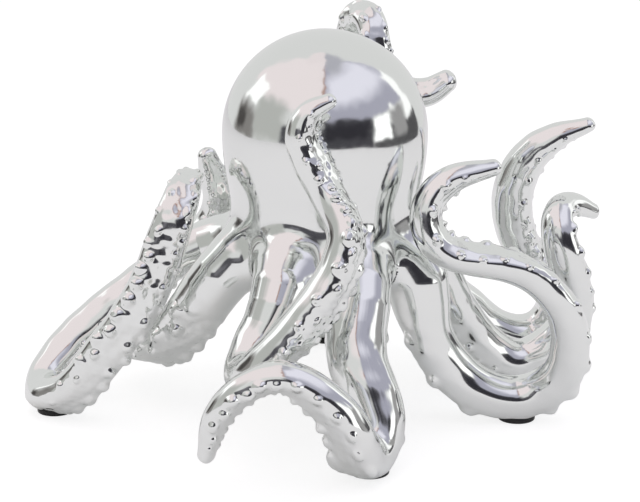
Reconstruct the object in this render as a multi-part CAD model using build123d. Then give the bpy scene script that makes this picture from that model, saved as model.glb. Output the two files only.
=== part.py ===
import math
import os

from build123d import *

# All sizes in millimetres, +Z up, the table at Z = 0, the viewer at -Y.

# mantle, the hollow ball of the head
MANTLE_RADIUS = 49.0
MANTLE_RISE = 40.6          # centre of the ball above the neck joint
MANTLE_LOWER_REACH = 70.0   # half height of the egg shape below the centre
MANTLE_WALL = 4.0
BOSS_HEIGHT = 8.0           # collar of the body inside the mantle's mouth
BOSS_CLEARANCE = 0.2
COLLAR_TAPER = 5.0          # degrees

# body, the eight-sided core that carries the arms
ROOT_HEIGHT = 84.0          # middle of the arm seats above the table
ROOT_PITCH = 20.0           # degrees that the arm seats look downwards
ROOT_GAP = 1.2              # free space between neighbouring arm roots
ROOT_MARGIN = 0.7           # core height left above and below an arm root
FIRST_BEARING = 20.0        # degrees from the front to the first arm

# arms
ARM_ROOT_RADIUS = 14.2
SHOULDER_ANGLE = 25.0       # degrees, where the round back meets the sucker face
FACE_HEIGHT = 0.74          # height of the sucker face in arm radii
SECTION_STEP = 9.0          # most space between the sections along an arm
SECTION_SHARE = 0.8         # the same in arm radii where the arm is thin
TIP_LENGTH = 3.0            # blunt point beyond the last route point
TIP_RADIUS = 1.6

# steel pins in the arm joints
PIN_RADIUS = 3.0
PIN_DEPTH = 10.0            # in the core and in the arm
PIN_CLEARANCE = 0.1

# rubber foot pads
PAD_RADIUS = 9.0
PAD_THICKNESS = 2.5
PAD_EDGE = 0.6
FOOT_CUT = 0.8              # depth of the flat under a resting arm
TIP_CLEARANCE = 9.0         # from the mantle to the arms that rise beside it
DRAWN_HEIGHT = 84.0         # height of the arm seats for which the routes are drawn

ARM_COUNT = 8
HALF_STEP = 180.0 / ARM_COUNT
PITCH = math.radians(ROOT_PITCH)

# The seats are spread so that neighbouring roots keep ROOT_GAP between them.
SEAT_COSINE = math.sin(PITCH) ** 2 + math.cos(PITCH) ** 2 * math.cos(math.radians(2 * HALF_STEP))
SEAT_SPREAD = math.acos(SEAT_COSINE) / 2
ROOT_REACH = math.cos(PITCH) * (ARM_ROOT_RADIUS + ROOT_GAP / 2) / math.tan(SEAT_SPREAD)
CORE_HALF = (ARM_ROOT_RADIUS + ROOT_MARGIN) * math.cos(PITCH)
NECK_HEIGHT = ROOT_HEIGHT + CORE_HALF
MANTLE_HEIGHT = NECK_HEIGHT + MANTLE_RISE
HEAD = MANTLE_RADIUS + TIP_CLEARANCE


def foot(radius):
    # height of an arm's middle line where it rests on its pad
    return PAD_THICKNESS + radius * FACE_HEIGHT - FOOT_CUT


# Route points are x, y, z and radius, from the first point beyond the root to the tip.
# The face vectors, spread evenly along an arm, say where its suckers look.
ARMS = {
    "front": {
        "place": 0,
        "pad": (20, -89),
        "route": [(16, -55, 71, 14.0), (14, -66, 53, 14.0), (19, -75, 36, 13.4), (23.5, -80, 23, 12.8),
                  (21.5, -87, foot(12.4) + 1.2, 12.4), (15, -102, foot(12.0) + 1.2, 12.0),
                  (11.5, -109.5, 23, 11.4), (5.5, -113, 35, 10.5), (-5, -114.5, 46, 9.6),
                  (-18, -115, 53, 8.4), (-36, -115, 47, 7.2), (-48, -112, 32, 6.0), (-52, -109, 16, 3.0)],
        "face": [(0, 0.5, -0.9), (0, 0.8, -0.5), (0, -0.2, -1), (-0.6, -0.7, -0.3), (0, -0.4, -0.9),
                 (0.9, -0.4, 0.1)],
    },
    "right_front": {
        "place": 1,
        "pad": (93, -16),
        "route": [(44, -20.5, 73, 13.8), (46, -21, 57, 13.6), (48.5, -20.5, 43, 13.4), (56, -19, 30, 12.9),
                  (66, -18, 19.5, 12.5), (78, -17, 12.5, 12.0), (93, -16, foot(11.5), 11.5),
                  (107, -18.5, 16, 10.9), (115, -22.5, 26, 10.7), (117.5, -28, 42, 10.4),
                  (113.5, -33, 60, 9.8), (103, -36, 74, 9.2), (86, -39, 84, 8.8), (67, -41, 88, 8.6),
                  (HEAD - 6, -42, 95, 8.8), (HEAD - 10.5, -40, 108, 8.8), (HEAD - 4, -37, 120, 8.0),
                  (HEAD + 8, -35, 125.5, 6.8), (HEAD + 20, -33, 128, 4.2)],
        "face": [(-0.4, -0.1, -0.9), (-0.7, -0.2, -0.6), (0, -0.2, -1), (1, -0.2, 0.1), (0.2, -0.3, 1),
                 (1, -0.4, 0.3), (0.2, -0.4, -0.9)],
    },
    "right": {
        "place": 2,
        "pad": (98, 41),
        "route": [(51, 21, 68, 13.2), (62, 28, 46, 12.6), (76, 36, 25, 12.0), (96, 41, foot(11.6), 11.6),
                  (116, 43, 18, 11.2), (127, 42, 33, 11.2), (126, 38, 53, 11.2), (120, 33.5, 71, 10.6),
                  (117, 36, 84.5, 8.9), (119.5, 43.5, 90, 7.9), (128, 51, 89.5, 6.8), (137, 55, 85, 4.2)],
        "face": [(-0.3, 0.3, -0.9), (-0.6, 0.2, -0.7), (0, 0, -1), (1, 0.1, 0), (0.9, 0.3, 0.3),
                 (0.3, 0.2, -0.9)],
    },
    "right_back": {
        "place": 3,
        "pad": (103, 94),
        "route": [(35, 60, 69, 13.2), (55, 76, 44, 12.6), (74, 86, 26, 12.0), (94, 92, foot(11.6), 11.6),
                  (114, 95, foot(11.2), 11.2), (124, 92, 28, 10.8), (116, 84, 46, 10.8), (104, 76, 63, 11.0),
                  (97, 70, 82, 11.0), (98, 66, 99, 10.8), (105, 63, 113, 9.8), (118, 60, 123, 7.8),
                  (133, 58, 129.5, 4.0)],
        "face": [(-0.3, 0.3, -0.9), (-0.6, 0, -0.8), (0, 0, -1), (0.8, 0, 0.5), (0.9, -0.3, 0.2),
                 (0.3, -0.3, -0.9)],
    },
    "back": {
        "place": 4,
        "pad": (1, 112),
        "route": [(-18, 70, 66, 13.2), (-19, 93, 34, 12.4), (-9, 110, foot(11.6), 11.6),
                  (11, 110, foot(11.2), 11.2), (20, 101, 44, 10.6), (17, 94, 90, 10.0), (13, 89, 130, 9.2),
                  (12.5, 85.5, 156, 8.2), (13.5, 82.5, 172, 7.8), (15.3, 79, 180.3, 7.6),
                  (19.4, 71.5, 184.5, 7.6), (23.5, 64, 180.3, 7.6), (25.4, HEAD + 2.5, 172, 7.6),
                  (28, HEAD + 2, 161, 7.6), (34, HEAD + 2, 151.5, 7.6), (44, HEAD + 2, 146.5, 7.4),
                  (54, HEAD + 1, 148, 6.6), (61.5, HEAD - 1, 153.5, 4.2)],
        "face": [(0, -0.5, -0.9), (0, -0.8, -0.6), (0, -0.3, -1), (0, -1, -0.1), (0, -1, 0), (0.1, -0.8, 0.6),
                 (0.3, -0.5, 0.8)],
    },
    "left_back": {
        "place": 5,
        "pad": (-132, -5),
        "route": [(-55, 26, 77, 12.8), (-84, 25, 60, 11.8), (-113, 20, 38.5, 11.2), (-130, 12, 23.5, 10.9),
                  (-137, 1, 13.5, 10.7), (-134, -11, foot(10.5), 10.5), (-122, -20.5, 15.5, 10.5),
                  (-109, -26, 31, 10.6), (-96, -29, 48.5, 10.6), (-83.5, -29, 68.5, 10.4),
                  (-75, -27, 90, 10.0),
                  (-HEAD - 11, -24, 107, 9.2), (-HEAD - 8, -16, 115, 8.0), (-HEAD - 6, -6, 118, 6.0),
                  (-HEAD - 3, 3, 116, 2.8)],
        "face": [(0.2, -0.2, -1), (0.3, -0.2, -0.9), (0, -0.3, -1), (-0.2, -1, -0.2), (0, -1, 0.1),
                 (0, -0.3, 1)],
    },
    "left": {
        "place": 6,
        "pad": None,
        "route": [(-46, -15.5, 74, 13.3), (-56, -10, 56, 12.8), (-69.5, 0, 36.5, 12.2), (-86, 21, 24, 11.4),
                  (-95, 46, 26, 10.8), (-89, 60, 42, 10.0), (-70, 65, 64, 9.2), (-56, 65, 82, 8.4),
                  (-55, 62, 97, 7.8), (-58, 60, 108, 6.8), (-59.5, 58, 114.5, 4.2)],
        "face": [(0.3, -0.3, -0.9), (0.1, -0.7, -0.7), (0.1, -0.5, -0.9), (0.5, -0.4, -0.7),
                 (0.6, -0.8, -0.2), (0.4, -0.9, 0.1)],
    },
    "front_left": {
        "place": 7,
        "pad": None,
        "route": [(-20, -48, 77, 13.2), (-25, -56, 62, 12.2), (-32, -62, 50, 11.4), (-35, -69, 43.6, 10.6),
                  (-35, -77, 41.8, 10.4), (-32, -84, 44.4, 10.4), (-27, -88.5, 50, 10.6),
                  (-16, -91, 62, 10.8), (-4, -90, 77, 10.5), (7, -86, 94, 10.2), (10, -HEAD - 22, 109, 9.7),
                  (3, -HEAD - 12, 123, 9.2),
                  (-6, -HEAD - 9, 139, 8.8), (-10, -HEAD - 9, 153, 8.0), (-5, -HEAD - 9, 162, 6.0),
                  (2, -HEAD - 9, 166, 3.2)],
        "face": [(0, 0.5, -0.9), (0.3, 0.9, -0.2), (0.3, -0.1, -1), (0.5, -0.7, -0.5), (0.7, -0.7, 0),
                 (0.7, -0.7, 0), (0.3, -0.5, -0.8)],
    },
}


def outward(place):
    # direction in which the arm of this place leaves the core
    angle = math.radians(FIRST_BEARING + 2 * HALF_STEP * place)
    return Vector(math.sin(angle) * math.cos(PITCH), -math.cos(angle) * math.cos(PITCH), -math.sin(PITCH))


def root_centre(place):
    angle = math.radians(FIRST_BEARING + 2 * HALF_STEP * place)
    return Vector(ROOT_REACH * math.sin(angle), -ROOT_REACH * math.cos(angle), ROOT_HEIGHT)


def egg_radius(height, radius, reach):
    # half width of the mantle at a height above its centre
    return radius * math.sqrt(1 - (height / (radius if height > 0 else reach)) ** 2)


def mantle_profile(radius, reach):
    # half outline of the egg from the neck to the crown
    neck = egg_radius(-MANTLE_RISE, radius, reach)
    waist = egg_radius(-MANTLE_RISE / 2, radius, reach)
    half = radius * math.sqrt(0.5)
    lower = Spline((neck, -MANTLE_RISE), (waist, -MANTLE_RISE / 2), (radius, 0), tangents=[
        (neck * MANTLE_RISE / reach ** 2 * radius ** 2 / neck ** 2, 1), (0, 1)])
    upper = ThreePointArc((radius, 0), (half, half), (0, radius))
    return lower, upper, neck


def revolved(radius, reach):
    lower, upper, neck = mantle_profile(radius, reach)
    closing = Polyline((0, radius), (0, -MANTLE_RISE), (neck, -MANTLE_RISE))
    face = Plane.XZ * make_face(Curve() + [lower, upper, closing])
    return Pos(0, 0, MANTLE_HEIGHT) * revolve(face, Axis.Z)


def make_mantle():
    hollow = revolved(MANTLE_RADIUS - MANTLE_WALL, MANTLE_LOWER_REACH)
    return revolved(MANTLE_RADIUS, MANTLE_LOWER_REACH) - hollow


def pin_bore(place, radius):
    # the pin's cylinder, half in the core and half in the arm
    start = root_centre(place) - outward(place) * PIN_DEPTH
    return Plane(start, z_dir=outward(place)) * extrude(Circle(radius), 2 * PIN_DEPTH)


def make_body():
    low = ROOT_HEIGHT - CORE_HALF
    apothem = ROOT_REACH - CORE_HALF * math.tan(PITCH)
    octagon = RegularPolygon(apothem, ARM_COUNT, major_radius=False, rotation=FIRST_BEARING + HALF_STEP)
    core = Pos(0, 0, low) * extrude(octagon, 2 * CORE_HALF, taper=-ROOT_PITCH)
    mouth = egg_radius(-MANTLE_RISE, MANTLE_RADIUS - MANTLE_WALL, MANTLE_LOWER_REACH) - BOSS_CLEARANCE
    collar = Pos(0, 0, NECK_HEIGHT) * extrude(Circle(mouth), BOSS_HEIGHT, taper=COLLAR_TAPER)
    body = core + collar
    for place in range(ARM_COUNT):
        body -= pin_bore(place, PIN_RADIUS + PIN_CLEARANCE)
    return body


def arm_section(centre, along, face, radius):
    # a round back and a flatter sucker face, drawn across the arm
    face = face - along * face.dot(along)
    plane = Plane(centre, x_dir=face.cross(along), z_dir=along)
    turn = math.radians(SHOULDER_ANGLE)
    side, rise = radius * math.cos(turn), radius * math.sin(turn)
    back = ThreePointArc((-side, rise), (0, -radius), (side, rise))
    front = ThreePointArc((side, rise), (0, radius * FACE_HEIGHT), (-side, rise))
    return plane.location * Wire([back, front])


def blend(values, share):
    # value at a share of the way along a list of evenly spread values
    spot = min(share, 1) * (len(values) - 1)
    low = min(int(spot), len(values) - 2)
    return values[low] * (1 - spot + low) + values[low + 1] * (spot - low)


def radius_at(points, radii, share):
    # radius between the route points, by the share of the straight lengths
    legs = [(second - first).length for first, second in zip(points, points[1:])]
    rest = share * sum(legs)
    for low, leg in enumerate(legs):
        if rest <= leg or low == len(legs) - 1:
            return radii[low] + (radii[low + 1] - radii[low]) * min(rest / leg, 1)
        rest -= leg


def raised(height, radius):
    # a route height follows the arm seats, while a foot stays on its pad
    return foot(radius) + (height - foot(radius)) * ROOT_HEIGHT / DRAWN_HEIGHT


def make_arm(arm):
    place, route = arm["place"], arm["route"]
    points = [root_centre(place)] + [Vector(x, y, raised(z, radius)) for x, y, z, radius in route]
    points.append(points[-1] + (points[-1] - points[-2]).normalized() * TIP_LENGTH)
    radii = [ARM_ROOT_RADIUS] + [point[3] for point in route] + [TIP_RADIUS]
    faces = [Vector(*face) for face in arm["face"]]
    ends = [outward(place), points[-2] - points[-3]]
    path = Spline(points[:-1], tangents=ends, tangent_scalars=[1, 1])
    whole = path.length + TIP_LENGTH
    shares = [0.0]
    while shares[-1] < 1:
        radius = radius_at(points, radii, shares[-1])
        shares.append(shares[-1] + min(SECTION_STEP, SECTION_SHARE * radius) / whole)
    sections = []
    for share in [value / shares[-1] for value in shares]:
        reach = min(share * whole, path.length)
        along = path.tangent_at(reach, position_mode=PositionMode.LENGTH)
        spot = path.position_at(reach, position_mode=PositionMode.LENGTH) + along * (share * whole - reach)
        sections.append(arm_section(spot, along, blend(faces, share), radius_at(points, radii, share)))
    solid = Solid.make_loft(sections) - pin_bore(place, PIN_RADIUS + PIN_CLEARANCE)
    if arm["pad"]:
        solid = split(solid, bisect_by=Plane.XY.offset(PAD_THICKNESS), keep=Keep.TOP)
    return solid


def make_pad(spot):
    disc = Pos(*spot, 0) * extrude(Circle(PAD_RADIUS), PAD_THICKNESS)
    return chamfer(disc.edges().group_by(Axis.Z)[0], PAD_EDGE)


nodes = {"body": make_body(), "mantle": make_mantle()}
nodes["joint_pins"] = Compound([pin_bore(place, PIN_RADIUS).solid() for place in range(ARM_COUNT)])
for name, arm in ARMS.items():
    nodes["arm_" + name] = make_arm(arm)
    if arm["pad"]:
        nodes["pad_" + name] = make_pad(arm["pad"])

# The whole figure is set with the middle of its box over the origin.
box = Compound([solid for node in nodes.values() for solid in node.solids()]).bounding_box()
centring = Pos(-box.center().X, -box.center().Y, 0)

os.makedirs("parts", exist_ok=True)
for name, node in nodes.items():
    export_step(centring * node, "parts/" + name + ".step")
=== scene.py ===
import math

import bpy
import numpy as np
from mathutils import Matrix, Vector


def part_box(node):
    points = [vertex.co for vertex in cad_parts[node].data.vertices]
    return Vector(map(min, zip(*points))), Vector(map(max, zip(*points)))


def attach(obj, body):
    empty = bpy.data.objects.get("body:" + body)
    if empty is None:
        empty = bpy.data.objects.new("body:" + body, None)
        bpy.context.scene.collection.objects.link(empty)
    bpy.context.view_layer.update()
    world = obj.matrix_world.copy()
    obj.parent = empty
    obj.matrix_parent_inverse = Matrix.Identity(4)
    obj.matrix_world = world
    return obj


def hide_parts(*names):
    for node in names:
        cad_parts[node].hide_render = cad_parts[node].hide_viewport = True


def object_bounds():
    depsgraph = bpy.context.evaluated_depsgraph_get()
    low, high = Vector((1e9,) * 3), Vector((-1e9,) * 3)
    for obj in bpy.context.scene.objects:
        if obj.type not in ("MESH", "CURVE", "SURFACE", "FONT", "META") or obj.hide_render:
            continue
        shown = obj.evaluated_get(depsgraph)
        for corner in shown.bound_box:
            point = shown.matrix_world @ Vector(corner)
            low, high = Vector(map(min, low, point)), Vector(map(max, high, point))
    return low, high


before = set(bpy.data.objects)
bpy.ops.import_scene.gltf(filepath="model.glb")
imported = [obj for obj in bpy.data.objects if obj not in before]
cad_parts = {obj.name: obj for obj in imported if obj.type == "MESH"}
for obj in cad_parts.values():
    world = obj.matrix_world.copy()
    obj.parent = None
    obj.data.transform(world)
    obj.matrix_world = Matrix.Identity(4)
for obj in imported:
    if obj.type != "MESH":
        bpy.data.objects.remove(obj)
cadBox = [list(corner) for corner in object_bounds()]
mm = 0.001  # shapes are worked out in millimetres and put into the meshes in metres
print("frame loaded:", len(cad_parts), "solids")


def linear(hexColour):
    # sRGB hex to linear light
    parts = np.array([int(hexColour[i:i + 2], 16) for i in (1, 3, 5)]) / 255
    return tuple(np.where(parts <= 0.04045, parts / 12.92, ((parts + 0.055) / 1.055) ** 2.4)) + (1.0,)


def addNode(tree, kind, inputs=None, **settings):
    # one node with its settings; inputs are values, or sockets to link
    node = tree.nodes.new(kind)
    for name, value in settings.items():
        setattr(node, name, value)
    for name, value in (inputs or {}).items():
        if isinstance(value, bpy.types.NodeSocket):
            tree.links.new(value, node.inputs[name])
        else:
            node.inputs[name].default_value = value
    return node


def smoothStep(low, high, value):
    # 0 below low, 1 above high, and a smooth S between them
    share = np.clip((value - low) / (high - low), 0, 1)
    return share * share * (3 - 2 * share)


# where the CAD puts the mantle and the hub under it

mantleLow, mantleHigh = (np.array(corner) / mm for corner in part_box("mantle"))
hubX, hubY = (mantleLow + mantleHigh)[:2] / 2
mantle = {
    "radius": (mantleHigh - mantleLow)[0] / 2,
    "lowerReach": 70.0,   # half height of the egg shape below the middle
    "neckHeight": mantleLow[2],
    "rows": 220,
    "columns": 300,
    "longestRay": 76.0,
    "core": 26.0,         # where a ray ends that finds no surface
}
mantle["middle"] = np.array([hubX, hubY, mantleHigh[2] - mantle["radius"]])

hub = {
    "rootHeight": 84.0,     # middle of the arm roots above the table
    "rootReach": 36.06,     # from the upright axis to an arm root
    "rootRadius": 14.2,
    "rootPitch": 20.0,      # degrees that the roots look down
    "firstBearing": 20.0,   # of the front arm, degrees from the viewer's side to the right
    "spacing": 45.0,        # degrees from arm to arm
}

webs = {
    "fillet": 6.5,          # softness of the webs between mantle and arms
    "length": 58.0,         # of each arm, that takes part in the webs
    "rodRings": 16,         # rings to each short rod that stands for an arm there
    "fitted": 50.0,         # of each arm, whose rings are set on the webs
    "leave": (30, 48),      # stretch of the arm over which its rings come away from the webs
    "longestRay": 34.0,     # from an arm's middle line
    "core": 0.8,            # of the root's radius, where a ray finds no surface
    "probe": 0.1,           # step for the slope
    "dive": 0.25,           # how steeply a skin goes under a nearer neighbour
    "deepest": 2.5,
    "marches": 18,          # steps along a ray, each a share of the distance that is left
    "marchShare": 0.92,
    "longestMarch": 8.0,
    "closeEnough": 0.05,
}

armForm = {
    "step": 0.6,            # between rings, mm
    "fineStep": 0.05,       # along the spline before it is resampled
    "around": 112,          # points round a ring
    "faceCrowding": 0.42,   # how much closer they stand on the sucker side
    "shoulder": 65.0,       # degrees from the middle of the sucker face to where the round back begins
    "faceHeight": 0.74,     # in arm radii
    "softEdge": 0.03,       # between face and back, in arm radii
    "groove": 0.06,         # sink of the face's middle, in arm radii
    "grooveWidth": 0.5,     # radians
    "faceBlend": (0.1, 0.7),   # cosines of the angles at which the face's texture begins and is full
    "radiusRings": 9,       # over which the radius is softened
    "faceRings": 12,        # over which the turn of the face is softened
    "tipLength": 3.0,
    "tipShare": 0.8,        # of the last radius, where that is longer
    "tipRings": 9,
    "onPad": 1.7,           # underside of a resting arm above the table
}


def foot(radius):
    # height of an arm's middle line where it rests on its pad: the face's height above the pad
    return armForm["onPad"] + armForm["faceHeight"] * radius


# route: x, y, z and radius from the first point beyond the root to the tip, about the hub's axis
# face: where the suckers look, spread evenly along the arm
# suckerPitch in arm radii, suckerSize and texture as shares of the usual, scatter in radians, bareTip in mm

head = 58.0   # how far from the axis the arms pass by the mantle
arms = {
    "front": {
        "place": 0, "suckerPitch": 0.95, "suckerSize": 0.95, "scatter": 0.16, "texture": 1.3, "bareTip": 4,
        "route": [(16, -55, 71, 14.0), (14, -66, 53, 14.0), (19, -75, 36, 13.4), (23.5, -80, 23, 12.8),
                  (21.5, -87, foot(12.4) + 1.2, 12.4), (15, -102, foot(12.0) + 1.2, 12.0),
                  (11.5, -109.5, 23, 11.4), (5.5, -113, 35, 10.5), (-5, -114.5, 46, 9.6),
                  (-18, -115, 53, 8.6), (-36, -115, 47, 7.8), (-48, -112, 32, 6.9), (-52, -109, 16, 4.2)],
        "face": [(0, 0.5, -0.9), (0, 0.8, -0.5), (0, -0.2, -1), (-0.6, -0.7, -0.3), (0, -0.4, -0.9),
                 (0.9, -0.4, 0.1)],
    },
    "right_front": {
        "place": 1, "suckerPitch": 1.4, "suckerSize": 0.8, "scatter": 0.1, "texture": 1.0, "bareTip": 14,
        "route": [(44, -20.5, 73, 13.8), (46, -21, 57, 13.6), (48.5, -20.5, 43, 13.4), (56, -19, 30, 12.9),
                  (66, -18, 19.5, 12.5), (78, -17, 12.5, 12.0), (93, -16, foot(11.5), 11.5),
                  (107, -18.5, 16, 10.9), (115, -22.5, 26, 10.7), (117.5, -28, 42, 10.4),
                  (113.5, -33, 60, 9.8), (103, -36, 74, 9.2), (86, -39, 84, 8.8), (67, -41, 88, 8.6),
                  (head - 6, -42, 95, 8.8), (head - 10.5, -40, 108, 8.8), (head - 4, -37, 120, 8.0),
                  (head + 8, -35, 125.5, 6.8), (head + 20, -33, 128, 4.2)],
        "face": [(-0.4, -0.1, -0.9), (-0.7, 0.1, -0.6), (0, 0.3, -1), (1, 0.25, 0.1), (0.2, -0.1, 1),
                 (1, -0.4, 0.3), (0.2, -0.4, -0.9)],
    },
    "right": {
        "place": 2, "suckerPitch": 1.0, "suckerSize": 0.75, "scatter": 0.12, "texture": 1.0, "bareTip": 8,
        "route": [(51, 21, 68, 13.2), (62, 28, 46, 12.6), (76, 36, 25, 12.0), (96, 41, foot(11.6), 11.6),
                  (116, 43, 18, 11.2), (127, 42, 33, 11.2), (126, 38, 53, 11.2), (120, 33.5, 71, 10.6),
                  (117, 36, 84.5, 8.9), (119.5, 43.5, 90, 7.9), (127.4, 50.7, 89.6, 6.8),
                  (135.4, 54.3, 85.8, 4.2)],
        "face": [(-0.3, 0.3, -0.9), (-0.6, 0.2, -0.7), (0, 0, -1), (1, 0.1, 0), (0.9, 0.3, 0.3),
                 (0.3, 0.2, -0.9)],
    },
    "right_back": {
        "place": 3, "suckerPitch": 1.0, "suckerSize": 0.75, "scatter": 0.12, "texture": 1.0, "bareTip": 8,
        "route": [(35, 60, 69, 13.2), (55, 76, 44, 12.6), (74, 86, 26, 12.0), (94, 92, foot(11.6), 11.6),
                  (114, 95, foot(11.2), 11.2), (124, 92, 28, 10.8), (116, 84, 46, 10.8),
                  (104.5, 76, 63, 11.4), (98.5, 70, 82, 12.4), (99.5, 66, 99, 12.2), (106, 63, 112.5, 10.8),
                  (118, 60, 123, 8.2),
                  (133, 58, 129.5, 4.0)],
        "face": [(-0.3, 0.3, -0.9), (-0.6, 0, -0.8), (0, 0, -1), (0.8, 0, 0.5), (0.9, -0.3, 0.2),
                 (0.3, -0.3, -0.9)],
    },
    "back": {
        "place": 4, "suckerPitch": 0.9, "suckerSize": 0.8, "scatter": 0.2, "texture": 1.3, "bareTip": 40,
        "route": [(-18, 70, 66, 13.2), (-19, 93, 34, 12.4), (-9, 110, foot(11.6), 11.6),
                  (11, 110, foot(11.2), 11.2), (20, 101, 44, 10.6), (17, 94, 90, 10.0), (13, 89, 130, 9.2),
                  (12.5, 85.5, 156, 8.2), (13.5, 82.5, 172, 7.8), (15.3, 79, 180.3, 7.6),
                  (19.4, 71.5, 184.5, 7.6), (23.5, 64, 180.3, 7.6), (25.4, head + 2.5, 172, 7.6),
                  (28, head + 2, 161, 7.6), (34, head + 2, 151.5, 7.8), (44, head + 2, 146.5, 8.0),
                  (54, head + 1, 148, 7.6), (61, head - 1, 153, 5.4)],
        "face": [(0, -0.5, -0.9), (0, -0.8, -0.6), (0, -0.3, -1), (0, -1, -0.1), (0, -1, 0), (0.1, -0.8, 0.6),
                 (0.3, -0.5, 0.8)],
    },
    "left_back": {
        "place": 5, "suckerPitch": 0.76, "suckerSize": 0.7, "scatter": 0.26, "texture": 1.6, "bareTip": 4,
        "route": [(-55, 26, 77, 12.8), (-84, 25, 60, 11.8), (-113, 20, 38.5, 11.2), (-130.5, 12, 22.0, 11.0),
                  (-137, 1, 11.4, 10.7), (-134, -11, foot(10.5), 10.5), (-122, -20.5, 15.5, 10.5),
                  (-109, -26, 31, 10.6), (-96, -29, 48.5, 10.6), (-83.5, -29, 68.5, 10.4),
                  (-75, -27, 90, 10.0),
                  (-head - 11, -24, 107, 9.2), (-head - 8, -16, 115, 8.0), (-head - 6, -6, 118, 6.0),
                  (-head - 3, 3, 116, 2.8)],
        "face": [(0.2, -0.2, -1), (0.3, -0.2, -0.9), (0, -0.3, -1), (-0.2, -1, -0.58), (0, -1, -0.28),
                 (0, -0.3, 1)],
    },
    "left": {
        "place": 6, "suckerPitch": 0.66, "suckerSize": 0.66, "scatter": 0.24, "texture": 1.6, "bareTip": 4,
        "route": [(-47, -15.5, 74.5, 13.6), (-58.5, -10, 58, 14.0), (-71.5, 0, 38.5, 13.4),
                  (-87, 21, 25, 12.0), (-95, 46, 26, 10.8), (-89, 60, 42, 10.0), (-70, 65, 64, 9.2),
                  (-56, 65, 82, 8.4),
                  (-55, 62, 97, 7.8), (-58, 60, 108, 6.8), (-59.5, 58, 114.5, 4.2)],
        "face": [(0.2, -0.5, -0.85), (0.1, -0.95, -0.5), (0.1, -0.8, -0.65), (0.5, -0.4, -0.7),
                 (0.6, -0.8, -0.2), (0.4, -0.9, 0.1)],
    },
    "front_left": {
        "place": 7, "suckerPitch": 0.68, "suckerSize": 0.68, "scatter": 0.34, "texture": 2.2, "bareTip": 6,
        "route": [(-20, -48, 77, 13.2), (-25, -56, 62, 12.2), (-32, -62, 50, 11.4), (-35, -69, 43.6, 10.6),
                  (-35, -77, 41.8, 10.4), (-32, -84, 44.4, 10.4), (-27, -88.5, 50, 10.6),
                  (-16, -91, 62, 10.8), (-4, -90, 77, 10.5), (7, -86, 94, 10.2), (10, -head - 22, 109, 9.7),
                  (3, -head - 12, 123, 9.2),
                  (-6, -head - 9, 139, 8.8), (-10, -head - 9, 153, 8.0), (-5, -head - 9, 162, 6.0),
                  (2, -head - 9, 166, 3.2)],
        "face": [(0, 0.5, -0.9), (0.3, 0.9, -0.2), (0.3, -0.1, -1), (0.5, -0.7, -0.5), (0.85, -0.5, 0),
                 (0.9, -0.4, 0), (0.5, -0.4, -0.7)],
    },
}

suckers = {
    "rowAngle": 52.0,       # degrees from the middle of the face
    "width": 0.47,          # half width in arm radii
    "leastWidth": 1.9,
    "leastPitch": 3.6,
    "height": 0.24,
    "dimple": 0.13,
    "dimpleSpread": 0.07,   # in half widths, squared
    "firstAt": 34.0,        # mm from the root
    "fade": 3.0,            # mm to each side of where the rows begin and end
    "padFade": (13, 19),    # mm from the pad's middle, where the rows begin again
    "unevenness": 0.3,
    "drift": 0.2,           # along the row, in pitches
}

handWork = {                # waves left by modelling, mm on an arm of the given radius
    "radius": 10.0,
    "length": 13.0,
    "back": 0.12,
    "face": 0.26,
    "fineLength": 5.0,
    "fine": 0.07,
    "count": 9,             # of plane waves
    "turn": 2.4,            # radians from one wave's direction to the next
    "steepest": 0.9,
    "shortest": 0.75,       # share of the length, and how much each next wave is longer
    "longer": 0.07,
    "phase": 3.7,
}


def unit(vectors):
    # each vector over its length
    return vectors / np.linalg.norm(vectors, axis=-1, keepdims=True)


def splineThrough(points, leave, arrive, step):
    # clamped cubic spline over the chord lengths: the slopes solve one banded system,
    # and each piece is a Hermite cubic, resampled to even steps along its length
    chords = np.linalg.norm(np.diff(points, axis=0), axis=1)
    knots = np.concatenate([[0], np.cumsum(chords)])
    count = len(points)
    system, wanted = np.eye(count), np.zeros((count, 3))
    inner = np.arange(1, count - 1)
    before, after = chords[:-1], chords[1:]
    system[inner, inner - 1], system[inner, inner + 1] = after, before
    system[inner, inner] = 2 * (before + after)
    rise = np.diff(points, axis=0) / chords[:, None]
    wanted[1:-1] = 3 * (after[:, None] * rise[:-1] + before[:, None] * rise[1:])
    wanted[0], wanted[-1] = leave, arrive
    slopes = np.linalg.solve(system, wanted)
    spot = np.linspace(0, knots[-1], int(knots[-1] / armForm["fineStep"]))
    piece = np.clip(np.searchsorted(knots, spot, side="right") - 1, 0, count - 2)
    wide = chords[piece][:, None]
    t = (spot - knots[piece])[:, None] / wide
    line = ((1 + 2 * t) * (1 - t) ** 2 * points[piece] + t * (1 - t) ** 2 * wide * slopes[piece]
            + t * t * (3 - 2 * t) * points[piece + 1] + t * t * (t - 1) * wide * slopes[piece + 1])
    length = np.concatenate([[0], np.cumsum(np.linalg.norm(np.diff(line, axis=0), axis=1))])
    even = np.linspace(0, length[-1], int(length[-1] / step) + 1)
    spine = np.stack([np.interp(even, length, line[:, axis]) for axis in range(3)], axis=1)
    return spine, even, np.interp(np.interp(even, length, spot), knots, np.arange(count))


def softened(values, steps):
    # running mean with a bell-shaped window, the ends held
    reach = 3 * steps
    window = np.exp(-0.5 * (np.arange(-reach, reach + 1) / steps) ** 2)
    window /= window.sum()
    columns = np.pad(values.reshape(len(values), -1), [(reach, reach), (0, 0)], mode="edge").T
    smooth = [np.convolve(column, window, mode="valid") for column in columns]
    return np.stack(smooth, axis=1).reshape(values.shape)


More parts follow.
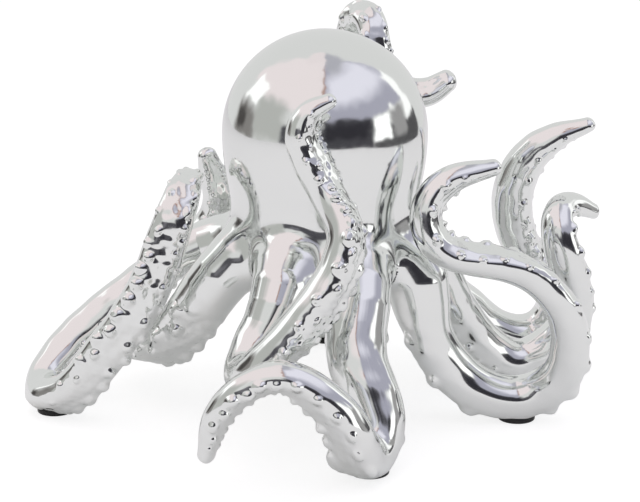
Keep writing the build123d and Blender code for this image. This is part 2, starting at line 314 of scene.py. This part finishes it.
def armSkeleton(arm):
    # middle line, direction, sucker direction and radius of an arm at even steps from root to tip
    bearing = math.radians(hub["firstBearing"] + hub["spacing"] * arm["place"])
    pitch = math.radians(hub["rootPitch"])
    outX, outY = math.sin(bearing), -math.cos(bearing)
    leave = np.array([outX * math.cos(pitch), outY * math.cos(pitch), -math.sin(pitch)])
    root = np.array([hub["rootReach"] * outX, hub["rootReach"] * outY, hub["rootHeight"]])
    route = np.array(arm["route"], float)
    points = np.vstack([root, route[:, :3]]) + [hubX, hubY, 0]
    arrive = unit(points[-1] - points[-2])
    spine, along, place = splineThrough(points, leave, arrive, armForm["step"])
    radius = np.interp(place, np.arange(len(points)), np.concatenate([[hub["rootRadius"]], route[:, 3]]))
    radius = softened(radius, armForm["radiusRings"])
    direction = unit(np.gradient(spine, axis=0))
    faces = np.array(arm["face"], float)
    share = np.linspace(0, len(faces) - 1, len(spine))
    face = np.stack([np.interp(share, np.arange(len(faces)), faces[:, axis]) for axis in range(3)], axis=1)
    face = softened(face, armForm["faceRings"])
    face = unit(face - direction * (face * direction).sum(1, keepdims=True))
    return {"spine": spine, "along": along, "radius": radius, "direction": direction, "face": face,
            "side": np.cross(direction, face)}


skeletons = {name: armSkeleton(arm) for name, arm in arms.items()}
for name, line in skeletons.items():
    onPad = "pad_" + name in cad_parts
    line["pad"] = np.mean(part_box("pad_" + name), axis=0) / mm if onPad else None
print("arm lines:", ", ".join(f"{name} {line['along'][-1]:.0f} mm" for name, line in skeletons.items()))


def eggDistance(points):
    # distance to the mantle's egg: a ball above its middle, drawn out downwards below it
    offset = points - mantle["middle"]
    offset[:, 2] *= np.where(offset[:, 2] > 0, 1, mantle["radius"] / mantle["lowerReach"])
    return np.linalg.norm(offset, axis=1) - mantle["radius"]


def rootDistance(points, line):
    # distance to the first stretch of an arm: the least over short tapering rods along its middle line
    picks = np.arange(0, int(webs["length"] / armForm["step"]), webs["rodRings"])
    spots, radii = line["spine"][picks], line["radius"][picks]
    least = np.full(len(points), np.inf)
    for start, end, thick, thin in zip(spots[:-1], spots[1:], radii[:-1], radii[1:]):
        rod = end - start
        share = np.clip((points - start) @ rod / (rod @ rod), 0, 1)
        gap = np.linalg.norm(points - start - share[:, None] * rod, axis=1)
        least = np.minimum(least, gap - thick - (thin - thick) * share)
    return least


def webField(points, names):
    # soft union: minus k times the log of the sum of exp(-distance / k) over mantle and arms
    parts = np.stack([eggDistance(points)] + [rootDistance(points, skeletons[name]) for name in names])
    least, soft = parts.min(0), webs["fillet"]
    return least - soft * np.log(np.exp((least - parts) / soft).sum(0)), parts


def webSlope(points, names):
    # direction in which the field grows, by differences over a short step to both sides
    rises = [webField(points + step, names)[0] - webField(points - step, names)[0]
             for step in np.eye(3) * webs["probe"]]
    return unit(np.stack(rises, axis=1))


def marchOut(origins, directions, names, longest):
    # goes along each ray by a share of the field's own distance until it stands on the surface
    travel, most = np.zeros(len(origins)), webs["longestMarch"]
    for _ in range(webs["marches"]):
        gap, parts = webField(origins + travel[:, None] * directions, names)
        travel = np.minimum(travel - webs["marchShare"] * np.clip(gap, -most, most), longest)
    return travel, parts, np.abs(gap) < webs["closeEnough"]


def sunk(points, slopes, own, others):
    # where a neighbour lies nearer, the surface dips under the neighbour's
    return points - slopes * np.clip(webs["dive"] * (own - others), 0, webs["deepest"])[:, None]


def closedMesh(name, rings, firstPole, lastPole, normals=None):
    # rings of points joined by quads, with a fan of triangles to a pole at each end
    rows, columns = rings.shape[:2]
    points = np.vstack([rings.reshape(-1, 3), firstPole, lastPole])
    index = np.arange(rows * columns).reshape(rows, columns)
    onward = np.roll(index, -1, axis=1)
    quads = np.stack([index[:-1], onward[:-1], onward[1:], index[1:]], axis=-1).reshape(-1, 4)
    first = np.stack([onward[0], index[0], np.full(columns, rows * columns)], axis=-1)
    last = np.stack([index[-1], onward[-1], np.full(columns, rows * columns + 1)], axis=-1)
    mesh = bpy.data.meshes.new(name)
    mesh.from_pydata((points * mm).tolist(), [], quads.tolist() + first.tolist() + last.tolist())
    mesh.shade_smooth()
    if normals is not None:
        ends = unit(np.vstack([firstPole - rings[0].mean(0), lastPole - rings[-1].mean(0)]))
        mesh.normals_split_custom_set_from_vertices(np.vstack([normals.reshape(-1, 3), ends]).tolist())
    piece = bpy.data.objects.new(name, mesh)
    bpy.context.scene.collection.objects.link(piece)
    return piece


def handWaves(points, length):
    # plane waves in scattered directions added up: a smooth uneven field of about -1 to 1
    count = handWork["count"]
    turns = np.arange(1, count + 1) * handWork["turn"]
    rises = np.linspace(-handWork["steepest"], handWork["steepest"], count)
    flat = np.sqrt(1 - rises ** 2)
    directions = np.stack([flat * np.cos(turns), flat * np.sin(turns), rises])
    lengths = length * (handWork["shortest"] + handWork["longer"] * np.arange(count))
    phases = points @ (directions * 2 * np.pi / lengths) + handWork["phase"] * turns
    return np.sin(phases).sum(-1) / math.sqrt(count)


def keptInside(points):
    # eases what nears the CAD's box, the table too: a depth under the margin m becomes
    # m times exp(depth / m - 1)
    low, high = (np.array(corner) / mm for corner in cadBox)
    margin = 1.5
    for sign, limit in ((1, high), (-1, low)):
        depth = sign * (limit - points)
        eased = limit - sign * margin * np.exp(np.minimum(depth, margin) / margin - 1)
        points = np.where(depth < margin, eased, points)
    return points


def gridNormals(rings):
    # cross product of the steps around and along a ring grid
    alongStep = np.gradient(rings, axis=0)
    aroundStep = np.roll(rings, -1, axis=1) - np.roll(rings, 1, axis=1)
    return unit(np.cross(aroundStep, alongStep))


def suckerHeight(along, angle, line, arm):
    # two staggered rows of low domes on the edges of the sucker face, each (1 - distance squared) squared
    # less a dimple; the sines of a sucker's number scatter its size and place
    radius = line["radius"][:, None]
    pitch = np.maximum(arm["suckerPitch"] * line["radius"], suckers["leastPitch"])
    count = np.concatenate([[0], np.cumsum(armForm["step"] / pitch[1:])])[:, None]
    first, bare, soft = suckers["firstAt"], arm["bareTip"], suckers["fade"]
    fade = smoothStep(first - soft, first + soft, along) \
        * smoothStep(bare - soft, bare + soft, line["along"][-1] - along)
    if line["pad"] is not None:
        fromPad = np.linalg.norm(line["spine"] - line["pad"], axis=1)[:, None]
        fade = fade * smoothStep(*suckers["padFade"], fromPad)
    height = np.zeros(np.broadcast(along, angle).shape)
    for row, sideSign in enumerate((1, -1)):
        place = count + 0.5 * row
        number = np.round(place)
        uneven = suckers["unevenness"] * np.sin(number * 12.99 + 4.1 * row + arm["place"])
        shift = suckers["drift"] * np.sin(number * 7.23 + row + arm["place"])
        sideways = arm["scatter"] * np.sin(number * 9.17 + 2 * row + arm["place"])
        dimple = suckers["dimple"] * (1 + np.sin(number * 5.1 + row))
        wide = np.maximum(suckers["width"] * arm["suckerSize"] * radius, suckers["leastWidth"]) * (1 + uneven)
        acrossGap = (angle * sideSign - math.radians(suckers["rowAngle"]) - sideways) * radius
        alongGap = (place - number - shift) * pitch[:, None]
        spread = (acrossGap ** 2 + alongGap ** 2) / wide ** 2
        dome = np.clip(1 - spread, 0, 1) ** 2 - dimple * np.exp(-spread / suckers["dimpleSpread"])
        tall = suckers["height"] * arm["suckerSize"] * radius * (1 + uneven)
        height += np.where(spread < 1, dome, 0) * tall
    return height * fade


def sectionRadius(angle):
    # round back, and a flatter face arc through both shoulders, softly joined, with a groove in its middle
    turn = math.radians(90 - armForm["shoulder"])
    rise = armForm["faceHeight"] - math.sin(turn)
    arc = (math.cos(turn) ** 2 + rise ** 2) / (2 * rise)
    low = armForm["faceHeight"] - arc
    face = low * np.cos(angle) + np.sqrt(arc ** 2 - (low * np.sin(angle)) ** 2)
    face = np.where(np.cos(angle) > 0, face, 2)   # on the back side the face is out of reach
    soft = armForm["softEdge"]
    joined = -soft * np.log(np.exp(-1 / soft) + np.exp(-face / soft))
    return joined - armForm["groove"] * np.exp(-(angle / armForm["grooveWidth"]) ** 2)


def buildArm(name, arm):
    # ring grid about the middle line: section radius, suckers and waves, and near the root the web field
    line = skeletons[name]
    spine, radius = line["spine"][:, None], line["radius"][:, None]
    turn = np.arange(armForm["around"]) / armForm["around"] * 2 * np.pi - np.pi
    angle = (turn - armForm["faceCrowding"] * np.sin(turn))[None, :]
    reach = radius * sectionRadius(angle)
    spokes = np.cos(angle)[..., None] * line["face"][:, None] \
        + np.sin(angle)[..., None] * line["side"][:, None]
    skin = spine + reach[..., None] * spokes
    onFace = smoothStep(*armForm["faceBlend"], np.cos(angle))
    swell = handWork["back"] + (handWork["face"] - handWork["back"]) * onFace
    waves = handWaves(skin, handWork["length"]) * swell
    waves += handWaves(skin, handWork["fineLength"]) * handWork["fine"] * arm["texture"] * onFace
    raised = suckerHeight(line["along"][:, None], angle, line, arm)
    reach = reach + raised + waves * radius / handWork["radius"]
    rings = spine + reach[..., None] * spokes
    normals = gridNormals(rings)

    # the first rings are set on the webs, and come away from them further out
    beside = (0, 1, len(arms) - 1)
    names = [other for other in arms if (arms[other]["place"] - arm["place"]) % len(arms) in beside]
    own = 1 + names.index(name)
    rows = int(webs["fitted"] / armForm["step"])
    origins = np.repeat(line["spine"][:rows], armForm["around"], axis=0)
    rays = spokes[:rows].reshape(-1, 3)
    travel, parts, found = marchOut(origins, rays, names, webs["longestRay"])
    ground = origins + travel[:, None] * rays
    slopes = webSlope(ground, names)
    ground = sunk(ground, slopes, parts[own], np.delete(parts, own, axis=0).min(0))
    ground[~found] = (origins + webs["core"] * line["radius"][0] * rays)[~found]
    weight = 1 - smoothStep(*webs["leave"], line["along"][:rows])[:, None, None]
    rings[:rows] = rings[:rows] * (1 - weight) + ground.reshape(rows, -1, 3) * weight
    normals[:rows] = unit(normals[:rows] * (1 - weight) + slopes.reshape(rows, -1, 3) * weight)

    # the tip is a quarter round drawn over the last ring
    end, onward = line["spine"][-1], line["direction"][-1]
    cap = (np.linspace(0, 1, armForm["tipRings"])[1:-1] * np.pi / 2)[:, None, None]
    tipLength = max(armForm["tipLength"], armForm["tipShare"] * line["radius"][-1])
    tipRings = end + np.sin(cap) * tipLength * onward + np.cos(cap) * (rings[-1] - end)
    tipNormals = unit(np.cos(cap) * normals[-1] + np.sin(cap) * onward)
    rings, normals = np.concatenate([rings, tipRings]), np.concatenate([normals, tipNormals])
    return closedMesh("arm_" + name + "_cast", keptInside(rings), line["spine"][0], end + tipLength * onward,
                      normals)


def buildBall(name, middle, ownBelow, names):
    # rays from a middle point in all directions, each ending on the web field; beyond the neck the skin is
    # sunk under that of the ball on the other side
    rows, columns = mantle["rows"], mantle["columns"]
    rise = np.linspace(np.pi, 0, rows + 2)[1:-1][:, None]
    turn = np.linspace(0, 2 * np.pi, columns, endpoint=False)[None]
    level = np.sin(rise)
    rays = np.stack([level * np.cos(turn), level * np.sin(turn), np.cos(rise) + 0 * turn], axis=-1)
    rays = rays.reshape(-1, 3)
    origins = np.repeat(middle[None], len(rays), axis=0)
    travel, parts, found = marchOut(origins, rays, names, mantle["longestRay"])
    ground = origins + travel[:, None] * rays
    slopes = webSlope(ground, names)
    over = mantle["neckHeight"] - ground[:, 2]
    wrongSide = np.clip(-over if ownBelow else over, 0, None)
    others = np.where(wrongSide > 0, parts[0], parts[1:].min(0))
    ground = sunk(ground, slopes, parts[0] + wrongSide, others)
    ground[~found] = (origins + mantle["core"] * rays)[~found]
    lowest = middle - [0, 0, travel[:columns].mean()]
    highest = middle + [0, 0, travel[-columns:].mean()]
    shape = (rows, columns, 3)
    return closedMesh(name, ground.reshape(shape), lowest, highest, slopes.reshape(shape))


shown = []
for name, arm in arms.items():
    piece = buildArm(name, arm)
    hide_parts("arm_" + name)
    shown.append(piece)
print("arms built:", sum(len(piece.data.polygons) for piece in shown), "faces")

dome = buildBall("mantle_cast", mantle["middle"], False, list(arms))
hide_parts("mantle")
webMiddle = np.array([hubX, hubY, hub["rootHeight"] + 2])   # just above the roots, inside them all
web = buildBall("body_web", webMiddle, True, list(arms))
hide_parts("body")
shown += [dome, web]
print("mantle and web built")


def newMaterial(name):
    # a material with its node tree and its shader
    material = bpy.data.materials.new(name)
    material.use_nodes = True
    tree = material.node_tree
    return material, tree, tree.nodes["Principled BSDF"]


# plated cast: mirror bright, with the faint waves that plating leaves over a hand-finished casting
# sizes in mm

plated = {
    "colour": "#eef0ee",
    "roughness": (0.07, 0.12),
    "haze": 2.5,            # size of the patches that are more or less bright
    "waves": 14.0,
    "waveHeight": 0.6,
    "waveStrength": 0.10,
}


def makePlating():
    material, tree, shader = newMaterial("mirror_plated_cast")
    where = addNode(tree, "ShaderNodeTexCoord").outputs["Object"]
    shader.inputs["Base Color"].default_value = linear(plated["colour"])
    shader.inputs["Metallic"].default_value = 1.0
    waves = addNode(tree, "ShaderNodeTexNoise", {
        "Vector": where, "Scale": 1 / (plated["waves"] * mm), "Detail": 1.0})
    patches = addNode(tree, "ShaderNodeTexNoise", {
        "Vector": where, "Scale": 1 / (plated["haze"] * mm), "Detail": 2.0})
    clear, dull = plated["roughness"]
    haze = addNode(tree, "ShaderNodeMapRange", {
        "Value": patches.outputs["Fac"], "From Min": 0.3, "From Max": 0.7, "To Min": clear, "To Max": dull})
    tree.links.new(haze.outputs["Result"], shader.inputs["Roughness"])
    bump = addNode(tree, "ShaderNodeBump", {
        "Height": waves.outputs["Fac"], "Strength": plated["waveStrength"],
        "Distance": plated["waveHeight"] * mm})
    tree.links.new(bump.outputs["Normal"], shader.inputs["Normal"])
    return material


plating = makePlating()
for piece in shown:
    piece.data.materials.append(plating)
    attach(piece, "root")


# foot pads: moulded rubber, nearly black with a soft sheen and a fine grain, its edges rounded; sizes in mm

pads = {
    "names": ["front", "right_front", "right", "right_back", "back", "left_back"],
    "edge": 0.8,
    "edgeRings": 7,
    "flat": 0.5,             # share of the radius at which the flat faces have a ring of their own
    "columns": 64,
    "colours": ("#0d0d0e", "#1d1c1c"),
    "roughness": 0.38,
    "grain": 0.8,
    "grainHeight": 0.1,
    "grainStrength": 0.3,
}


def makeRubber():
    material, tree, shader = newMaterial("moulded_rubber")
    where = addNode(tree, "ShaderNodeTexCoord").outputs["Object"]
    grain = addNode(tree, "ShaderNodeTexNoise", {
        "Vector": where, "Scale": 1 / (pads["grain"] * mm), "Detail": 3.0})
    colour = addNode(tree, "ShaderNodeValToRGB", {"Fac": grain.outputs["Fac"]})
    for stop, shade in zip(colour.color_ramp.elements, pads["colours"]):
        stop.color = linear(shade)
    tree.links.new(colour.outputs["Color"], shader.inputs["Base Color"])
    shader.inputs["Roughness"].default_value = pads["roughness"]
    bump = addNode(tree, "ShaderNodeBump", {
        "Height": grain.outputs["Fac"], "Strength": pads["grainStrength"],
        "Distance": pads["grainHeight"] * mm})
    tree.links.new(bump.outputs["Normal"], shader.inputs["Normal"])
    return material


def buildPad(name):
    # a profile of rounded edges turned about the pad's upright axis
    low, high = (np.array(corner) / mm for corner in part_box("pad_" + name))
    middle, radius, edge = (low + high) / 2, (high - low)[0] / 2, pads["edge"]
    bend = np.linspace(0, np.pi / 2, pads["edgeRings"])
    flat = [radius * pads["flat"]]
    reach = np.concatenate([flat, radius - edge + edge * np.sin(bend),
                            radius - edge + edge * np.cos(bend), flat])
    level = np.concatenate([[low[2]], low[2] + edge - edge * np.cos(bend),
                            high[2] - edge + edge * np.sin(bend), [high[2]]])
    turn = np.linspace(0, 2 * np.pi, pads["columns"], endpoint=False)[None]
    rings = np.stack([middle[0] + reach[:, None] * np.cos(turn), middle[1] + reach[:, None] * np.sin(turn),
                      level[:, None] + 0 * turn], axis=-1)
    poles = np.array([[middle[0], middle[1], low[2]], [middle[0], middle[1], high[2]]])
    return closedMesh("pad_" + name + "_rubber", rings, poles[0], poles[1])


rubber = makeRubber()
for name in pads["names"]:
    piece = buildPad(name)
    piece.data.materials.append(rubber)
    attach(piece, "root")
    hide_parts("pad_" + name)
print("pads built:", len(pads["names"]))


# joint pins: turned steel, dull grey with uneven sheen, hidden in the roots; size in mm

pinSteel = {"colour": "#8c8f94", "roughness": (0.25, 0.45), "grain": 0.5}


def makePinSteel():
    material, tree, shader = newMaterial("turned_steel")
    where = addNode(tree, "ShaderNodeTexCoord").outputs["Object"]
    shader.inputs["Base Color"].default_value = linear(pinSteel["colour"])
    shader.inputs["Metallic"].default_value = 1.0
    grain = addNode(tree, "ShaderNodeTexNoise", {"Vector": where, "Scale": 1 / (pinSteel["grain"] * mm)})
    clear, dull = pinSteel["roughness"]
    sheen = addNode(tree, "ShaderNodeMapRange", {
        "Value": grain.outputs["Fac"], "To Min": clear, "To Max": dull})
    tree.links.new(sheen.outputs["Result"], shader.inputs["Roughness"])
    return material


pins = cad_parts["joint_pins"]
pins.data.materials.clear()
pins.data.materials.append(makePinSteel())


# studio: what the mirror finish sees, each panel laid over those before it
# angles in degrees: azimuth from the viewer's side to the right, and height above the table

studio = {
    "level": 0.73,       # of everything that the mirror finish sees
    "walls": ("#ffffff", 1.02),
    "warp": 0.11,        # how uneven the edges are, in radians
    "warpScale": 4.5,
    "panels": [
        {"azimuth": (-128, 9), "height": (31, 95), "colour": "#fff4f6", "level": 1.24, "soft": 8},
        {"azimuth": (0, 118), "height": (21, 95), "colour": "#d3d2e4", "level": 0.9, "soft": 4},
        {"azimuth": (-190, -118), "height": (71, 95), "colour": "#fff4f6", "level": 1.2, "soft": 4},
        {"azimuth": (20, 190), "height": (73, 95), "colour": "#d8d7e2", "level": 0.95, "soft": 6},
        {"azimuth": (6, 114), "height": (40, 74), "colour": "#f4f2ff", "level": 1.3, "soft": 18},
        {"azimuth": (-2.0, 2.0), "height": (34, 95), "colour": "#c79b88", "level": 1.0, "soft": 2.5},
        {"azimuth": (-92, -50), "height": (-3, 34), "colour": "#d8d9d6", "level": 1.0, "soft": 12},
        {"azimuth": (-52, 0), "height": (-30, 13), "colour": "#4c4b50", "level": 1.6, "soft": 5},
        {"azimuth": (-4, 56), "height": (-30, 23), "colour": "#454449", "level": 1.5, "soft": 5},
        {"azimuth": (0, 50), "height": (3, 19), "colour": "#2c2b30", "level": 1.9, "soft": 7},
        {"azimuth": (56, 126), "height": (-30, 9), "colour": "#504f51", "level": 1.6, "soft": 4},
        {"azimuth": (-121, -90), "height": (-6, 16), "colour": "#8c8987", "level": 1.3, "soft": 7},
        {"azimuth": (-117, -104), "height": (0, 12), "colour": "#4a4746", "level": 1.5, "soft": 6},
        {"azimuth": (-118, -93), "height": (19, 40), "colour": "#ffffff", "level": 1.7, "soft": 3},
        {"azimuth": (57, 80), "height": (-3, 19), "colour": "#ffffff", "level": 1.9, "soft": 5},
        {"azimuth": (86, 93), "height": (4, 24), "colour": "#ffffff", "level": 1.5, "soft": 4},
        {"azimuth": (109, 120), "height": (6, 42), "colour": "#ffffff", "level": 1.6, "soft": 4},
        {"azimuth": (84, 105), "height": (-3, 20), "colour": "#b9b7b8", "level": 1.0, "soft": 6},
        {"azimuth": (-36, -20), "height": (5, 15), "colour": "#85838a", "level": 1.0, "soft": 6},
    ],
}


def shone(hexColour, level):
    # a colour of the studio at its level
    return tuple(part * studio["level"] * level for part in linear(hexColour)[:3]) + (1.0,)


def makeStudio():
    world = bpy.data.worlds.new("studio")
    bpy.context.scene.world = world
    world.use_nodes = True
    tree = world.node_tree
    where = addNode(tree, "ShaderNodeTexCoord").outputs["Generated"]
    # the view direction is bent a little by noise, then turned into azimuth and height
    ripple = addNode(tree, "ShaderNodeTexNoise", {
        "Vector": where, "Scale": studio["warpScale"], "Detail": 2.0})
    centred = addNode(tree, "ShaderNodeVectorMath", {0: ripple.outputs["Color"], 1: (0.5, 0.5, 0.5)},
                      operation="SUBTRACT")
    push = addNode(tree, "ShaderNodeVectorMath", {0: centred.outputs[0], "Scale": 2 * studio["warp"]},
                   operation="SCALE")
    bent = addNode(tree, "ShaderNodeVectorMath", {0: where, 1: push.outputs[0]}, operation="ADD")
    straight = addNode(tree, "ShaderNodeVectorMath", {0: bent.outputs[0]}, operation="NORMALIZE")
    axes = addNode(tree, "ShaderNodeSeparateXYZ", {"Vector": straight.outputs[0]})
    front = addNode(tree, "ShaderNodeMath", {0: axes.outputs["Y"], 1: -1.0}, operation="MULTIPLY")
    azimuth = addNode(tree, "ShaderNodeMath", {0: axes.outputs["X"], 1: front.outputs[0]},
                      operation="ARCTAN2")
    height = addNode(tree, "ShaderNodeMath", {0: axes.outputs["Z"]}, operation="ARCSINE")
    seen = shone(*studio["walls"])
    for panel in studio["panels"]:
        soft = math.radians(panel["soft"]) / 2
        share = None
        for angle, (low, high) in ((azimuth, panel["azimuth"]), (height, panel["height"])):
            for edge, sign in ((low, 1), (high, -1)):
                limits = {"Value": angle.outputs[0], "From Min": math.radians(edge) - sign * soft,
                          "From Max": math.radians(edge) + sign * soft}
                ramp = addNode(tree, "ShaderNodeMapRange", limits, interpolation_type="SMOOTHSTEP")
                share = ramp if share is None else addNode(
                    tree, "ShaderNodeMath", {0: share.outputs[0], 1: ramp.outputs[0]}, operation="MULTIPLY")
        # sockets 6 and 7 of a Mix node, and its output 2, are the colours
        laid = {0: share.outputs[0], 6: seen, 7: shone(panel["colour"], panel["level"])}
        seen = addNode(tree, "ShaderNodeMix", laid, data_type="RGBA").outputs[2]
    ray = addNode(tree, "ShaderNodeLightPath").outputs["Is Camera Ray"]
    paper = addNode(tree, "ShaderNodeMix", {0: ray, 6: seen, 7: (1, 1, 1, 1)}, data_type="RGBA")
    tree.links.new(paper.outputs[2], tree.nodes["Background"].inputs["Color"])


makeStudio()

# floor: an opal acrylic light table that glows by itself and takes only a faint shadow

floor = {
    "corners": [(-1.8, -1.7, 0), (0.75, -0.9, 0), (0.95, 3.0, 0), (-1.8, 3.0, 0)],
    "colour": "#ffffff",
    "roughness": 0.9,
    "glow": 0.8,         # to the camera
    "glowSeen": 0.16,    # to the mirror finish
    "lit": 0.3,          # share of the light given back, to the camera
    "litSeen": 0.68,
}


def makeFloor():
    mesh = bpy.data.meshes.new("floor")
    mesh.from_pydata(floor["corners"], [], [(0, 1, 2, 3)])
    material, tree, shader = newMaterial("opal_acrylic")
    shader.inputs["Roughness"].default_value = floor["roughness"]
    shader.inputs["Specular IOR Level"].default_value = 0.0
    shader.inputs["Emission Color"].default_value = linear(floor["colour"])
    ray = addNode(tree, "ShaderNodeLightPath").outputs["Is Camera Ray"]
    for socket, seen, direct in (("Emission Strength", "glowSeen", "glow"), ("Base Color", "litSeen", "lit")):
        share = addNode(tree, "ShaderNodeMapRange", {
            "Value": ray, "To Min": floor[seen], "To Max": floor[direct]})
        tree.links.new(share.outputs["Result"], shader.inputs[socket])
    mesh.materials.append(material)
    sheet = bpy.data.objects.new("floor", mesh)
    bpy.context.scene.collection.objects.link(sheet)


makeFloor()

lamp = {"height": 1.6, "front": -0.3, "size": 1.8, "power": 9.0}   # metres and watts
light = bpy.data.lights.new("overhead", "AREA")
light.size, light.energy = lamp["size"], lamp["power"]
lightObject = bpy.data.objects.new("overhead", light)
lightObject.location = (0, lamp["front"], lamp["height"])
lightObject.rotation_euler = (math.atan2(lamp["front"], lamp["height"]), 0, 0)
lightObject.visible_glossy = False   # the mirror finish doesn't show it
bpy.context.scene.collection.objects.link(lightObject)
print("studio ready")

camera = {
    "distance": 1000.0,
    "elevation": 15.0,
    "aim": (hubX - 2.35, 0.0, 80.0),
    "focal": 2070.0,     # in pixels of the picture's width
    "width": 640,
    "sensor": 36.0,
}
lens = bpy.data.cameras.new("camera")
lens.sensor_width = camera["sensor"]
lens.lens = camera["focal"] / camera["width"] * lens.sensor_width
viewer = bpy.data.objects.new("camera", lens)
tilt = math.radians(camera["elevation"])
viewer.location = [(aim + back * camera["distance"]) * mm for aim, back in
                   zip(camera["aim"], (0, -math.cos(tilt), math.sin(tilt)))]
viewer.rotation_euler = (math.pi / 2 - tilt, 0, 0)
bpy.context.scene.collection.objects.link(viewer)
bpy.context.scene.camera = viewer
bpy.context.scene.view_settings.view_transform = "Standard"
